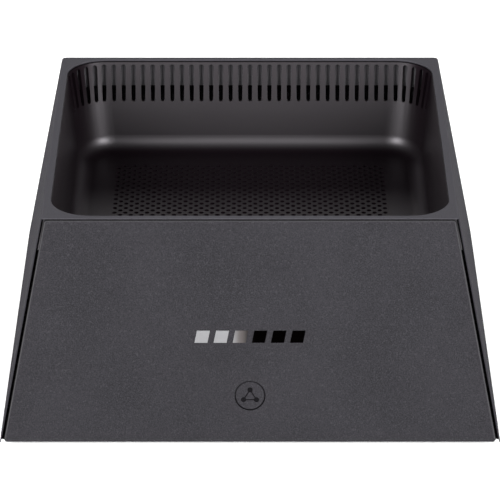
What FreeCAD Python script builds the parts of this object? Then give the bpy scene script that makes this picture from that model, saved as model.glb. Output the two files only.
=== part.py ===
import FreeCAD, Part
import Sketcher
import math
import os
import re

from FreeCAD import Placement, Rotation, Vector

doc = FreeCAD.newDocument("MeshNode")

# Driving dimensions, in millimetres and degrees.
# The node stands on its feet at Z = 0, its front faces -Y and its base centre is the origin.
dimensions = [
    ("body_width", 180.0, "width of the body at its base"),
    ("body_depth", 180.0, "depth of the body at its base"),
    ("top_width", 147.8, "width over the rim"),
    ("top_depth", 151.0, "depth over the rim"),
    ("body_height", 82.0, "base edge to rim"),
    ("floor_gap", 2.0, "base edge above the table"),
    ("shell_wall", 2.0, "side and rear walls, measured level"),
    ("front_wall", 4.6, "front wall back face behind the front plane"),
    ("rear_corner_round", 1.8, "upright rear corners"),
    ("front_corner_round", 1.0, "upright front corners"),
    ("rim_round", 0.7, "outer edge of the rim"),
    ("rim_width", 2.8, "flat border around the tray opening"),
    ("rim_plate", 1.0, "rim thickness over the cavity"),
    ("rim_lip", 0.6, "rim thickness over the tray edge"),
    ("rim_inner_round", 0.35, "inner edge of the rim"),
    ("opening_round", 14.5, "corner radius of the tray opening"),
    ("collar_depth", 11.4, "collar behind the vent slots, below the rim"),
    ("collar_wall", 2.0, "collar thickness"),
    ("tray_depth", 36.4, "rim to tray floor"),
    ("tray_draft", 6.0, "lean of the tray walls"),
    ("tray_wall", 1.2, "tray wall thickness"),
    ("tray_floor", 1.6, "tray floor thickness"),
    ("tray_reveal", 0.4, "shadow gap between rim and tray edge"),
    ("tray_floor_round", 6.3, "tray wall to tray floor"),
    ("tray_side_gap", 0.1, "tray edge to collar"),
    ("slot_pitch", 3.83, "vent slot spacing"),
    ("slot_top_width", 2.0, "vent slot width at its top"),
    ("slot_foot_width", 1.5, "vent slot width at its foot"),
    ("slot_height", 15.0, "vent slot length"),
    ("slot_drop", 2.0, "top of the slots below the rim"),
    ("hole_pitch", 4.12, "column spacing of the floor holes"),
    ("hole_diameter", 1.85, "floor hole diameter"),
    ("hole_field", 103.0, "side of the square that the holes fill"),
    ("grille_border", 2.0, "plain border of the floor grille"),
    ("panel_thickness", 2.4, "front panel, measured level"),
    ("panel_lip", 0.8, "thin upper edge of the front panel"),
    ("panel_step", 12.0, "height of that thin edge"),
    ("panel_side_lip", 0.4, "side wall edge beside the panel groove"),
    ("panel_groove", 0.95, "groove each side of the front panel"),
    ("panel_top_gap", 0.4, "rim edge to panel"),
    ("panel_lip_gap", 0.3, "upper panel edge to the wall behind it"),
    ("rim_nose", 0.25, "rim edge thickness over the panel"),
    ("panel_back_gap", 0.2, "panel to shell front wall"),
    ("panel_corner_round", 1.2, "corners of the panel outline"),
    ("panel_edge_round", 0.6, "front edge of the panel"),
    ("badge_length", 39.6, "trim bar row"),
    ("badge_width", 4.5, "trim bar height on the panel"),
    ("badge_rise", 39.8, "trim bar centre up the panel"),
    ("badge_depth", 0.6, "trim bar thickness"),
    ("badge_proud", 0.15, "trim bar above the panel"),
    ("badge_space", 1.3, "space between trim segments"),
    ("button_diameter", 10.5, "mesh button cap"),
    ("button_gap", 0.3, "ring gap around the cap"),
    ("button_rise", 17.7, "button centre up the panel"),
    ("button_travel", 0.8, "press travel of the mesh button"),
    ("flange_gap", 0.1, "panel back to button flange"),
    ("flange_overhang", 1.4, "button flange beyond the cap"),
    ("flange_thickness", 1.0, "button flange"),
    ("icon_depth", 0.3, "icon inlay thickness"),
    ("button_stem_diameter", 4.0, "stem behind the button"),
    ("button_board_back", 11.0, "button board front face behind the panel face"),
    ("board_thin", 1.0, "button board thickness"),
    ("switch_side", 6.0, "press switch body side"),
    ("switch_height", 3.5, "press switch body height"),
    ("plunger_diameter", 3.4, "press switch plunger"),
    ("plunger_reach", 1.3, "plunger above its switch"),
    ("running_gap", 0.05, "radial running fit of a plunger"),
    ("cover_thickness", 2.2, "bottom cover"),
    ("cover_gap", 0.3, "bottom cover to shell"),
    ("foot_diameter", 16.0, "rubber foot"),
    ("foot_recess", 0.8, "recess that seats a foot"),
    ("foot_x", 64.0, "foot centre from the middle"),
    ("foot_y", 66.0, "foot centre from the middle"),
    ("boss_x", 79.0, "cover screw centre from the middle"),
    ("boss_y", 77.0, "cover screw centre from the middle"),
    ("boss_diameter", 8.0, "screw boss"),
    ("boss_top", 24.0, "top of the lower screw bosses"),
    ("screw_diameter", 2.9, "self-tapping screw shank"),
    ("screw_clearance", 0.05, "shank to its pilot hole, radial"),
    ("screw_head", 5.6, "screw head diameter"),
    ("screw_head_height", 1.8, "screw head height"),
    ("ear_x", 70.0, "tray ear centre from the middle"),
    ("ear_y", 71.5, "tray ear centre from the middle"),
    ("ear_top", 60.0, "top of the tray ears"),
    ("ear_thickness", 3.0, "tray ear thickness"),
    ("ear_rim", 3.2, "ear beyond its screw centre"),
    ("board_width", 144.0, "main board width"),
    ("board_front", -46.0, "main board front edge"),
    ("board_rear", 74.0, "main board rear edge"),
    ("board_thickness", 1.6, "main board thickness"),
    ("board_bottom", 11.0, "underside of the main board"),
    ("board_screw_x", 66.0, "board screw from the middle"),
    ("board_screw_front", -40.0, "front board screws"),
    ("board_screw_rear", 60.0, "rear board screws"),
    ("port_window_width", 116.0, "rear port window"),
    ("port_window_bottom", 7.0, "lower edge of the port window"),
    ("port_window_top", 29.5, "upper edge of the port window"),
    ("port_face", 79.0, "port plate face from the middle"),
    ("port_plate", 1.6, "port plate thickness"),
    ("port_fit", 0.2, "port bezel to its window"),
    ("jack_width", 16.0, "network jack width"),
    ("jack_height", 13.5, "network jack height"),
    ("jack_length", 20.5, "network jack depth"),
    ("jack_pitch", 18.0, "network jack spacing"),
    ("jack_first", -30.0, "first network jack centre"),
    ("jack_proud", 1.5, "jack face beyond the port plate"),
    ("plug_width", 11.8, "network socket opening width"),
    ("plug_height", 6.8, "network socket opening height"),
    ("plug_depth", 13.0, "network socket depth"),
    ("power_x", 46.0, "power inlet centre"),
    ("power_width", 9.0, "power inlet width"),
    ("power_height", 11.0, "power inlet height"),
    ("power_length", 14.0, "power inlet depth"),
    ("power_bore", 6.4, "power inlet bore"),
    ("power_pin", 2.0, "power inlet pin"),
    ("reset_x", -46.0, "reset button centre"),
    ("reset_z", 18.0, "reset button height"),
    ("reset_diameter", 3.0, "reset button rod"),
    ("reset_travel", 0.6, "press travel of the reset button"),
    ("sink_width", 76.0, "heat sink width"),
    ("sink_depth", 56.0, "heat sink depth"),
    ("sink_base", 3.0, "heat sink base"),
    ("sink_top", 34.0, "top of the heat sink fins"),
    ("fin_thickness", 1.6, "heat sink fin"),
    ("chip_side", 21.0, "processor side"),
    ("chip_height", 1.4, "processor height"),
    ("pad_height", 1.0, "thermal pad height"),
    ("aerial_length", 42.0, "antenna board length"),
    ("aerial_height", 16.0, "antenna board height"),
    ("aerial_thickness", 0.8, "antenna board thickness"),
    ("aerial_bottom", 40.0, "lower edge of the antenna boards"),
    ("lead_diameter", 1.2, "antenna lead"),
    ("lead_bend", 6.0, "antenna lead bend radius"),
    ("lead_inset", 1.6, "antenna lead centre to the wall behind it"),
    ("cut_past", 4.0, "how far a cutter runs past the face that it opens"),
    ("weld", 0.5, "how deep a joined piece sinks into its neighbour"),
    ("part_gap", 0.15, "clearance around a part in its hole"),
    ("head_gap", 0.3, "clearance around a screw head or a flange"),
    ("rib_thickness", 1.6, "ribs that tie the bosses to the walls"),
    ("pad_height_cover", 1.4, "screw pad above the bottom cover"),
    ("standoff_diameter", 7.0, "board standoffs"),
    ("tray_boss_diameter", 7.2, "bosses that take the tray screws"),
    ("ear_reach", 12.0, "tray ear from its screw towards the tray"),
    ("panel_boss_diameter", 5.0, "bosses behind the front panel"),
    ("board_post_diameter", 6.0, "posts that carry the button board"),
    ("board_screw_across", 14.0, "button board screw from the middle"),
    ("collar_behind_panel", 7.0, "button guide collar behind the panel face"),
    ("window_half_width", 25.0, "half width of the front wall's window"),
    ("window_bottom", 7.0, "lower edge of the front wall's window"),
    ("window_top", 33.0, "upper edge of the front wall's window"),
    ("label_width", 52.0, "rating label width"),
    ("label_front", 30.0, "rating label front edge"),
    ("label_depth", 26.0, "rating label depth"),
    ("label_thickness", 0.15, "rating label thickness"),
    ("sink_middle", -2.0, "heat sink and processor centre, front to back"),
    ("sink_screw_x", 43.0, "heat sink screw from the middle"),
    ("sink_tab_half", 4.5, "half width of the heat sink's screw tabs"),
    ("power_bore_depth", 9.5, "power inlet bore depth"),
    ("rear_aerial_x", 40.0, "rear antenna centre from the middle"),
]

sheet = doc.addObject("Spreadsheet::Sheet", "Dimensions")
for row, (alias, value, note) in enumerate(dimensions, start=1):
    sheet.set("A%d" % row, alias)
    sheet.set("B%d" % row, str(value))
    sheet.set("C%d" % row, note)
    sheet.setAlias("B%d" % row, alias)
doc.recompute()

aliases = [entry[0] for entry in dimensions]
alias_words = re.compile(r"\b(" + "|".join(aliases) + r")\b")
finished_parts = []


def size(alias):
    return float(sheet.get(alias))


def formula(text):
    """Expression text in which each dimension's name points at the sheet."""
    return alias_words.sub(r"Dimensions.\1", str(text))


def amount(text):
    """The value of a formula, for the few places that need a number."""
    plain = alias_words.sub(lambda found: repr(size(found.group(0))), str(text))
    holder = doc.addObject("App::FeaturePython", "Sum")
    holder.addProperty("App::PropertyFloat", "Value")
    holder.setExpression("Value", plain)
    doc.recompute([holder])
    result = holder.Value
    doc.removeObject(holder.Name)
    return result


def bind(item, **formulas):
    for name, text in formulas.items():
        item.setExpression(name.replace("__", "."), formula(text))
    return item


def place(item, x=0, y=0, z=0, rotation=None):
    if rotation is not None:
        item.Placement = Placement(Vector(), rotation)
    return bind(item, Placement__Base__x=x, Placement__Base__y=y, Placement__Base__z=z)


rim_top = "(floor_gap + body_height)"
tray_top = "(%s - rim_lip - tray_reveal)" % rim_top
board_top = "(board_bottom + board_thickness)"
panel_top = "(%s - rim_nose - panel_top_gap)" % rim_top
cover_top = "(floor_gap + cover_thickness)"
pad_top = "(%s + pad_height_cover)" % cover_top
pilot_radius = "(screw_diameter/2 + screw_clearance)"
head_radius = "(screw_head/2)"


def side_at(z):
    """Half width of the body's outside at a height."""
    return "(body_width/2 - (body_width - top_width)/2*((%s) - floor_gap)/body_height)" % z


def end_at(z):
    """Half depth of the body's outside at a height."""
    return "(body_depth/2 - (body_depth - top_depth)/2*((%s) - floor_gap)/body_height)" % z


def add_box(name, x_low, x_high, y_low, y_high, z_low, z_high):
    box = doc.addObject("Part::Box", name)
    bind(
        box,
        Length="(%s) - (%s)" % (x_high, x_low),
        Width="(%s) - (%s)" % (y_high, y_low),
        Height="(%s) - (%s)" % (z_high, z_low),
    )
    return place(box, x_low, y_low, z_low)


def add_post(name, x, y, z_low, z_high, radius):
    """Upright cylinder."""
    post = doc.addObject("Part::Cylinder", name)
    bind(post, Radius=radius, Height="(%s) - (%s)" % (z_high, z_low))
    return place(post, x, y, z_low)


def add_rod(name, x, z, y_low, y_high, radius):
    """Cylinder that runs from front to back."""
    rod = doc.addObject("Part::Cylinder", name)
    bind(rod, Radius=radius, Height="(%s) - (%s)" % (y_high, y_low))
    return place(rod, x, y_low, z, Rotation(Vector(1, 0, 0), -90))


def add_wedge(name, z_low, z_high, edges):
    """Block between two level rectangles; edges(z) gives x low, x high, y low, y high."""
    wedge = doc.addObject("Part::Wedge", name)
    low = edges(z_low)
    high = edges(z_high)
    bind(
        wedge,
        Ymin=z_low, Ymax=z_high,
        Xmin=low[0], Xmax=low[1], Zmin="-(%s)" % low[3], Zmax="-(%s)" % low[2],
        X2min=high[0], X2max=high[1], Z2min="-(%s)" % high[3], Z2max="-(%s)" % high[2],
    )
    wedge.Placement = Placement(Vector(), Rotation(Vector(1, 0, 0), 90))
    return wedge


def add_slab(name, z_low, z_high, half_x, half_y, radius):
    """Upright block, centred on the origin, with rounded upright corners."""
    block = add_box(
        name + "_block", "-(%s)" % half_x, half_x, "-(%s)" % half_y, half_y, z_low, z_high
    )
    return add_fillet(name, block, radius, lambda edge: is_upright(edge))


def direction_of(edge):
    ends = [vertex.Point for vertex in edge.Vertexes]
    if len(ends) < 2:
        return Vector()
    return (ends[1] - ends[0]).normalize()


def is_upright(edge):
    return abs(direction_of(edge).z) > 0.9


def add_fillet(name, base, radius, chooser):
    doc.recompute()
    fillet = doc.addObject("Part::Fillet", name)
    fillet.Base = base
    value = amount(radius)
    fillet.Edges = [
        (index, value, value)
        for index, edge in enumerate(base.Shape.Edges, start=1)
        if chooser(edge)
    ]
    return fillet


def add_group(name, pieces):
    """Several solids, apart from each other, handled as one."""
    group = doc.addObject("Part::Compound", name)
    group.Links = pieces
    return group


def add_fuse(name, pieces):
    joined = doc.addObject("Part::MultiFuse", name)
    joined.Shapes = pieces
    joined.Refine = True
    return joined


def add_cut(name, base, cutters):
    cut = doc.addObject("Part::Cut", name)
    cut.Base = base
    cut.Tool = cutters[0] if len(cutters) == 1 else add_fuse(name + "_cutters", cutters)
    return cut


def add_common(name, first, second):
    common = doc.addObject("Part::Common", name)
    common.Base = first
    common.Tool = second
    return common


def finish(item, node):
    item.Label = node
    finished_parts.append(item)
    return item


def origin_part(body, role):
    return next(item for item in body.Origin.OriginFeatures if item.Role == role)


def add_outline(body, name, role, corners):
    """Closed outline of straight lines whose corners are held at formulas."""
    sketch = body.newObject("Sketcher::SketchObject", name)
    sketch.AttachmentSupport = [(origin_part(body, role), "")]
    sketch.MapMode = "FlatFace"
    points = [Vector(amount(x), amount(y), 0) for x, y in corners]
    count = len(points)
    for index in range(count):
        sketch.addGeometry(Part.LineSegment(points[index], points[(index + 1) % count]), False)
    for index in range(count):
        following = (index + 1) % count
        sketch.addConstraint(Sketcher.Constraint("Coincident", index, 2, following, 1))
    for index, (x, y) in enumerate(corners):
        hold_point(sketch, index, "DistanceX", x, points[index].x, "x%d" % index)
        hold_point(sketch, index, "DistanceY", y, points[index].y, "y%d" % index)
    return sketch


def hold_point(sketch, index, kind, text, value, label):
    if abs(value) < 1e-9:
        axis = -2 if kind == "DistanceX" else -1
        sketch.addConstraint(Sketcher.Constraint("PointOnObject", index, 1, axis))
        return
    number = sketch.addConstraint(Sketcher.Constraint(kind, -1, 1, index, 1, value))
    sketch.renameConstraint(number, label)
    sketch.setExpression("Constraints." + label, formula(text))


def add_circle_outline(body, name, role, circles):
    """Circles held at formulas, each given as x, y and radius."""
    sketch = body.newObject("Sketcher::SketchObject", name)
    sketch.AttachmentSupport = [(origin_part(body, role), "")]
    sketch.MapMode = "FlatFace"
    for index, (x, y, radius) in enumerate(circles):
        centre = Vector(amount(x), amount(y), 0)
        value = amount(radius)
        sketch.addGeometry(Part.Circle(centre, Vector(0, 0, 1), value), False)
        for kind, text, number, label in (
            ("DistanceX", x, centre.x, "cx%d" % index),
            ("DistanceY", y, centre.y, "cy%d" % index),
        ):
            if abs(number) < 1e-9:
                axis = -2 if kind == "DistanceX" else -1
                sketch.addConstraint(Sketcher.Constraint("PointOnObject", index, 3, axis))
            else:
                held = sketch.addConstraint(Sketcher.Constraint(kind, -1, 1, index, 3, number))
                sketch.renameConstraint(held, label)
                sketch.setExpression("Constraints." + label, formula(text))
        held = sketch.addConstraint(Sketcher.Constraint("Radius", index, value))
        sketch.renameConstraint(held, "r%d" % index)
        sketch.setExpression("Constraints.r%d" % index, formula(radius))
    return sketch


def add_turned(name, profile):
    """Body turned about its own Z axis from a profile of radius and height."""
    body = doc.addObject("PartDesign::Body", name)
    sketch = add_outline(body, name + "_profile", "XZ_Plane", profile)
    doc.recompute()
    turned = body.newObject("PartDesign::Revolution", name + "_turned")
    turned.Profile = sketch
    turned.ReferenceAxis = (sketch, ["V_Axis"])
    turned.Angle = 360
    return body


def add_padded(name, role, corners, length):
    """Body padded from a straight-sided outline."""
    body = doc.addObject("PartDesign::Body", name)
    sketch = add_outline(body, name + "_outline", role, corners)
    doc.recompute()
    pad = body.newObject("PartDesign::Pad", name + "_pad")
    pad.Profile = sketch
    bind(pad, Length=length)
    body.Tip = pad
    return body


def rectangle(x_low, x_high, y_low, y_high):
    return [(x_low, y_low), (x_high, y_low), (x_high, y_high), (x_low, y_high)]


# The front panel's own frame: Z points out of the panel, Y up its slope.
lean_angle = math.degrees(
    math.atan2((size("body_depth") - size("top_depth")) / 2, size("body_height"))
)
lean = Rotation(Vector(1, 0, 0), 90 - lean_angle)
face_frame = Placement(Vector(0, -size("body_depth") / 2, size("floor_gap")), lean)
lean_wall = math.cos(math.radians(lean_angle))


def on_panel(item, across=0, up=0, out=0):
    """Places an item built about its own Z axis square to the front panel."""
    item.Placement = face_frame.multiply(Placement(Vector(across, up, out), Rotation()))
    return item


# ---- outer shell ----

def body_edges(z):
    return ["-" + side_at(z), side_at(z), "-" + end_at(z), end_at(z)]


def cavity_edges(z):
    return [
        "-(%s - shell_wall)" % side_at(z), "%s - shell_wall" % side_at(z),
        "-(%s - front_wall)" % end_at(z), "%s - shell_wall" % end_at(z),
    ]


opening_half_x = "(top_width/2 - rim_width)"
opening_half_y = "(top_depth/2 - rim_width)"
collar_half_x = "(%s + tray_wall + tray_side_gap)" % opening_half_x
collar_half_y = "(%s + tray_wall + tray_side_gap)" % opening_half_y
collar_round = "(opening_round + tray_wall + tray_side_gap)"

body_block = add_wedge("BodyBlock", "floor_gap", rim_top, body_edges)


def is_rear_corner(edge):
    return is_upright(edge) and edge.CenterOfMass.y > 0


def is_front_corner(edge):
    return is_upright(edge) and edge.CenterOfMass.y < 0


def is_rim_edge(edge):
    return min(vertex.Z for vertex in edge.Vertexes) > amount(rim_top) - 0.01


body_rear = add_fillet("BodyRearRounded", body_block, "rear_corner_round", is_rear_corner)
body_front = add_fillet("BodyFrontRounded", body_rear, "front_corner_round", is_front_corner)
body_solid = add_fillet("BodyRounded", body_front, "rim_round", is_rim_edge)
cavity = add_wedge("Cavity", "floor_gap - cut_past", rim_top + " - rim_plate", cavity_edges)
walls = add_cut("ShellWalls", body_solid, [cavity])

collar_block = add_slab(
    "CollarBlock", rim_top + " - collar_depth", rim_top + " - rim_lip",
    collar_half_x + " + collar_wall", collar_half_y + " + collar_wall",
    collar_round + " + collar_wall",
)

corner_signs = [(-1, -1), (1, -1), (-1, 1), (1, 1)]
inner_pieces = [collar_block]
pilot_holes = []
for index, (sx, sy) in enumerate(corner_signs):
    x = "%d*boss_x" % sx
    y = "%d*boss_y" % sy
    foot = pad_top + " + 0.1"
    inner_pieces.append(
        add_post("CoverBoss%d" % index, x, y, foot, "boss_top", "boss_diameter/2")
    )
    reach_x = sorted([x, "%d*body_width/2" % sx], key=amount)
    reach_y = sorted([y, "%d*body_depth/2" % sy], key=amount)
    inner_pieces.append(add_box(
        "SideRib%d" % index, reach_x[0], reach_x[1],
        y + " - rib_thickness/2", y + " + rib_thickness/2", foot, "boss_top",
    ))
    inner_pieces.append(add_box(
        "EndRib%d" % index, x + " - rib_thickness/2", x + " + rib_thickness/2",
        reach_y[0], reach_y[1], foot, "boss_top",
    ))
    pilot_holes.append(
        add_post("CoverPilot%d" % index, x, y, "floor_gap", "boss_top - 6", pilot_radius)
    )
    ex = "%d*ear_x" % sx
    ey = "%d*ear_y" % sy
    inner_pieces.append(add_post(
        "TrayBoss%d" % index, ex, ey, "ear_top + running_gap",
        rim_top + " - rim_plate/2", "tray_boss_diameter/2",
    ))
    pilot_holes.append(
        add_post("TrayPilot%d" % index, ex, ey, "ear_top - 1", "ear_top + 10", pilot_radius)
    )
inner_block = add_fuse("ShellInnerPieces", inner_pieces)
inner_trimmed = add_common("ShellInnerTrimmed", inner_block, body_solid)
shell_joined = add_fuse("ShellJoined", [walls, inner_trimmed])


def panel_recess_edges(z):
    half = "%s - panel_side_lip" % side_at(z)
    return [
        "-(%s)" % half, half,
        "-(%s + cut_past)" % end_at(z), "-(%s - panel_thickness - panel_back_gap)" % end_at(z),
    ]


def lip_recess_edges(z):
    half = "%s - panel_side_lip" % side_at(z)
    return [
        "-(%s)" % half, half,
        "-(%s + cut_past)" % end_at(z), "-(%s - panel_lip - panel_lip_gap)" % end_at(z),
    ]


opening_cut = add_slab(
    "OpeningCut", rim_top + " - tray_depth", rim_top + " + cut_past",
    opening_half_x, opening_half_y, "opening_round",
)
collar_cut = add_slab(
    "CollarCut", rim_top + " - tray_depth", rim_top + " - rim_lip",
    collar_half_x, collar_half_y, collar_round,
)
panel_recess = add_wedge(
    "PanelRecess", "floor_gap - cut_past", rim_top + " - panel_step", panel_recess_edges
)
lip_recess = add_wedge(
    "LipRecess", rim_top + " - panel_step - cut_past/2", rim_top + " - rim_nose", lip_recess_edges
)
board_window = add_box(
    "BoardWindow", "-window_half_width", "window_half_width", "-body_depth/2 - cut_past",
    "-(%s - front_wall - cut_past)" % end_at("window_top"), "window_bottom", "window_top",
)
port_window = add_box(
    "PortWindow", "-port_window_width/2", "port_window_width/2",
    "port_face - cut_past", "body_depth/2 + cut_past", "port_window_bottom", "port_window_top",
)

panel_screw_spots = [(-64, 12), (64, 12), (-58, 50), (58, 50)]
panel_boss_holes = []
for across, up in panel_screw_spots:
    hole = doc.addObject("Part::Cylinder", "PanelBossHole")
    bind(hole, Radius="panel_boss_diameter/2 + head_gap", Height="front_wall + cut_past")
    panel_boss_holes.append(on_panel(hole, across, up, -size("front_wall") - size("cut_past")))

shell_cut = add_cut(
    "ShellCut", shell_joined,
    [opening_cut, collar_cut, panel_recess, lip_recess, board_window, port_window]
    + pilot_holes + panel_boss_holes,
)


def is_rim_inner_edge(edge):
    box = edge.BoundBox
    at_top = box.ZMin > amount(rim_top) - 0.01
    inside = (max(abs(box.XMin), abs(box.XMax)) < amount(opening_half_x) + 0.01
              and max(abs(box.YMin), abs(box.YMax)) < amount(opening_half_y) + 0.01)
    return at_top and inside


finish(add_fillet("Shell", shell_cut, "rim_inner_round", is_rim_inner_edge), "outer_shell")


# ---- tray ----

draft_run = math.tan(math.radians(size("tray_draft")))


def tray_inner_edges(z):
    run = "(%s - (%s))*%.8f" % (rim_top, z, draft_run)
    half_x = "(%s - %s)" % (opening_half_x, run)
    half_y = "(%s - %s)" % (opening_half_y, run)
    return ["-" + half_x, half_x, "-" + half_y, half_y]


def tray_outer_edges(z):
    run = "(%s - (%s))*%.8f" % (tray_top, z, draft_run)
    half_x = "(%s + tray_wall - %s)" % (opening_half_x, run)
    half_y = "(%s + tray_wall - %s)" % (opening_half_y, run)
    return ["-" + half_x, half_x, "-" + half_y, half_y]


tray_floor_top = "(%s - tray_depth)" % rim_top


def is_lowest_edge(level):
    return lambda edge: max(vertex.Z for vertex in edge.Vertexes) < level + 0.01


tray_outer_block = add_wedge(
    "TrayOuterBlock", tray_floor_top + " - tray_floor", tray_top, tray_outer_edges
)
tray_outer_corners = add_fillet(
    "TrayOuterCorners", tray_outer_block, "opening_round + tray_wall", is_upright
)
tray_outer = add_fillet(
    "TrayOuter", tray_outer_corners, "tray_floor_round + tray_wall",
    is_lowest_edge(amount(tray_floor_top + " - tray_floor")),
)
tray_inner_block = add_wedge("TrayInnerBlock", tray_floor_top, rim_top, tray_inner_edges)
tray_inner_corners = add_fillet(
    "TrayInnerCorners", tray_inner_block, "opening_round", is_upright
)
tray_inner = add_fillet(
    "TrayInner", tray_inner_corners, "tray_floor_round", is_lowest_edge(amount(tray_floor_top))
)
ears = []
ear_holes = []
for index, (sx, sy) in enumerate(corner_signs):
    near_x, far_x = sorted(["%d*(ear_x - ear_reach)" % sx, "%d*(ear_x + ear_rim)" % sx], key=amount)
    near_y, far_y = sorted(["%d*(ear_y - ear_reach)" % sy, "%d*(ear_y + ear_rim)" % sy], key=amount)
    ears.append(add_box(
        "TrayEar%d" % index, near_x, far_x, near_y, far_y, "ear_top - ear_thickness", "ear_top",
    ))
    ear_holes.append(add_post(
        "TrayEarHole%d" % index, "%d*ear_x" % sx, "%d*ear_y" % sy,
        "ear_top - ear_thickness - cut_past", "ear_top + cut_past", "screw_diameter/2 + part_gap",
    ))
tray_blank = add_fuse("TrayBlank", [tray_outer] + ears)
tray_basin = add_cut("TrayBasin", tray_blank, [tray_inner] + ear_holes)

# One vent slot in its own frame: its face lies in XZ and it is cut along +Y.
slot_top = amount(rim_top) - size("slot_drop")
slot_foot = slot_top - size("slot_height")
top_radius = size("slot_top_width") / 2
foot_radius = size("slot_foot_width") / 2


def slot_cutter():
    high = slot_top - top_radius
    low = slot_foot + foot_radius
    outline = Part.Wire([
        Part.makeLine(Vector(-foot_radius, 0, low), Vector(-top_radius, 0, high)),
        Part.Arc(
            Vector(-top_radius, 0, high), Vector(0, 0, slot_top), Vector(top_radius, 0, high)
        ).toShape(),
        Part.makeLine(Vector(top_radius, 0, high), Vector(foot_radius, 0, low)),
        Part.Arc(
            Vector(foot_radius, 0, low), Vector(0, 0, slot_foot), Vector(-foot_radius, 0, low)
        ).toShape(),
    ])
    return Part.Face(outline).extrude(Vector(0, size("opening_round"), 0))


corner_x = amount(opening_half_x) - size("opening_round")
corner_y = amount(opening_half_y) - size("opening_round")
slot_start = size("opening_round") / 2
straight_slots = int(corner_x / size("slot_pitch") + 0.3)
corner_slots = 5
slot_shapes = []
for step in range(-straight_slots, straight_slots + 1):
    cutter = slot_cutter()
    cutter.translate(Vector(step * size("slot_pitch"), corner_y + slot_start, 0))
    slot_shapes.append(cutter)
past_tangent = (straight_slots + 1) * size("slot_pitch") - corner_x
for step in range(corner_slots):
    turn = math.degrees((past_tangent + step * size("slot_pitch")) / size("opening_round"))
    for side in (-1, 1):
        cutter = slot_cutter()
        cutter.translate(Vector(0, slot_start, 0))
        cutter.rotate(Vector(), Vector(0, 0, 1), -side * turn)
        cutter.translate(Vector(side * corner_x, corner_y, 0))
        slot_shapes.append(cutter)
vent_slots = doc.addObject("Part::Feature", "VentSlots")
vent_slots.Shape = Part.makeCompound(slot_shapes)

# Floor holes: rows half a pitch apart, every other row shifted half a pitch.
hole_sketch = doc.addObject("Sketcher::SketchObject", "FloorHoles")
half_field = size("hole_field") / 2
row_step = size("hole_pitch") / 2
row_count = int(half_field / row_step)
circles = []
for row in range(-row_count, row_count + 1):
    shift = row_step if row % 2 == 0 else 0.0
    columns = int((half_field + 0.1 - shift) / size("hole_pitch"))
    first = -columns - (1 if shift else 0)
    for column in range(first, columns + 1):
        centre = Vector(column * size("hole_pitch") + shift, row * row_step, 0)
        circles.append(Part.Circle(centre, Vector(0, 0, 1), size("hole_diameter") / 2))
hole_sketch.addGeometry(circles, False)
floor_holes = doc.addObject("Part::Extrusion", "FloorHoleCutters")
floor_holes.Base = hole_sketch
floor_holes.DirMode = "Custom"
floor_holes.Dir = Vector(0, 0, 1)
floor_holes.Solid = True
bind(floor_holes, LengthFwd="tray_floor + 2*cut_past")
place(hole_sketch, 0, 0, tray_floor_top + " - tray_floor - cut_past")
doc.recompute()
grille_half = "(hole_field/2 + grille_border)"
grille_blank = add_box(
    "GrilleBlank", "-" + grille_half, grille_half, "-" + grille_half, grille_half,
    tray_floor_top + " - tray_floor", tray_floor_top,
)
grille_window = add_box(
    "GrilleWindow", "-" + grille_half, grille_half, "-" + grille_half, grille_half,
    tray_floor_top + " - tray_floor - cut_past", tray_floor_top + " + cut_past",
)
finish(add_cut("FloorGrille", grille_blank, [floor_holes]), "floor_grille")
finish(add_cut("Tray", tray_basin, [add_group("TrayCutters", [vent_slots, grille_window])]), "tray")


# ---- front panel ----

def panel_edges(z):
    half = "%s - panel_side_lip - panel_groove" % side_at(z)
    return [
        "-(%s)" % half, half,
        "-" + end_at(z), "-(%s - panel_thickness)" % end_at(z),
    ]


def panel_lip_edges(z):
    half = "%s - panel_side_lip - panel_groove" % side_at(z)
    return ["-(%s)" % half, half, "-" + end_at(z), "-(%s - panel_lip)" % end_at(z)]


panel_plate = add_wedge(
    "PanelPlate", "floor_gap", rim_top + " - panel_step - panel_lip_gap", panel_edges
)
panel_upper = add_wedge(
    "PanelUpper", rim_top + " - panel_step - cut_past", panel_top, panel_lip_edges
)
panel_block = add_fuse("PanelBlock", [panel_plate, panel_upper])
doc.recompute()


def is_outline_corner(edge):
    along = direction_of(edge)
    ends = [vertex.Z for vertex in edge.Vertexes]
    middle = sum(ends) / len(ends)
    at_end = middle < size("floor_gap") + 0.01 or middle > amount(panel_top) - 0.01
    return abs(along.y) > 0.95 and at_end


panel_cornered = add_fillet(
    "PanelCornered", panel_block, "panel_corner_round", is_outline_corner
)


def front_offset(point):
    """Distance of a point behind the front plane."""
    local = face_frame.inverse().multVec(point)
    return -local.z


def is_panel_front_edge(edge):
    return all(front_offset(vertex.Point) < 0.01 for vertex in edge.Vertexes)


panel_rounded = add_fillet(
    "PanelRounded", panel_cornered, "panel_edge_round", is_panel_front_edge
)
doc.recompute()

panel_back = size("panel_thickness") * lean_wall
weld = size("weld")
hole_radius = "(button_diameter/2 + button_gap)"
flange_radius = "(button_diameter/2 + flange_overhang)"


def panel_cylinder(name, across, up, out_low, out_high, radius):
    cylinder = doc.addObject("Part::Cylinder", name)
    bind(cylinder, Radius=radius)
    cylinder.Height = out_high - out_low
    return on_panel(cylinder, across, up, out_low)


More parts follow.
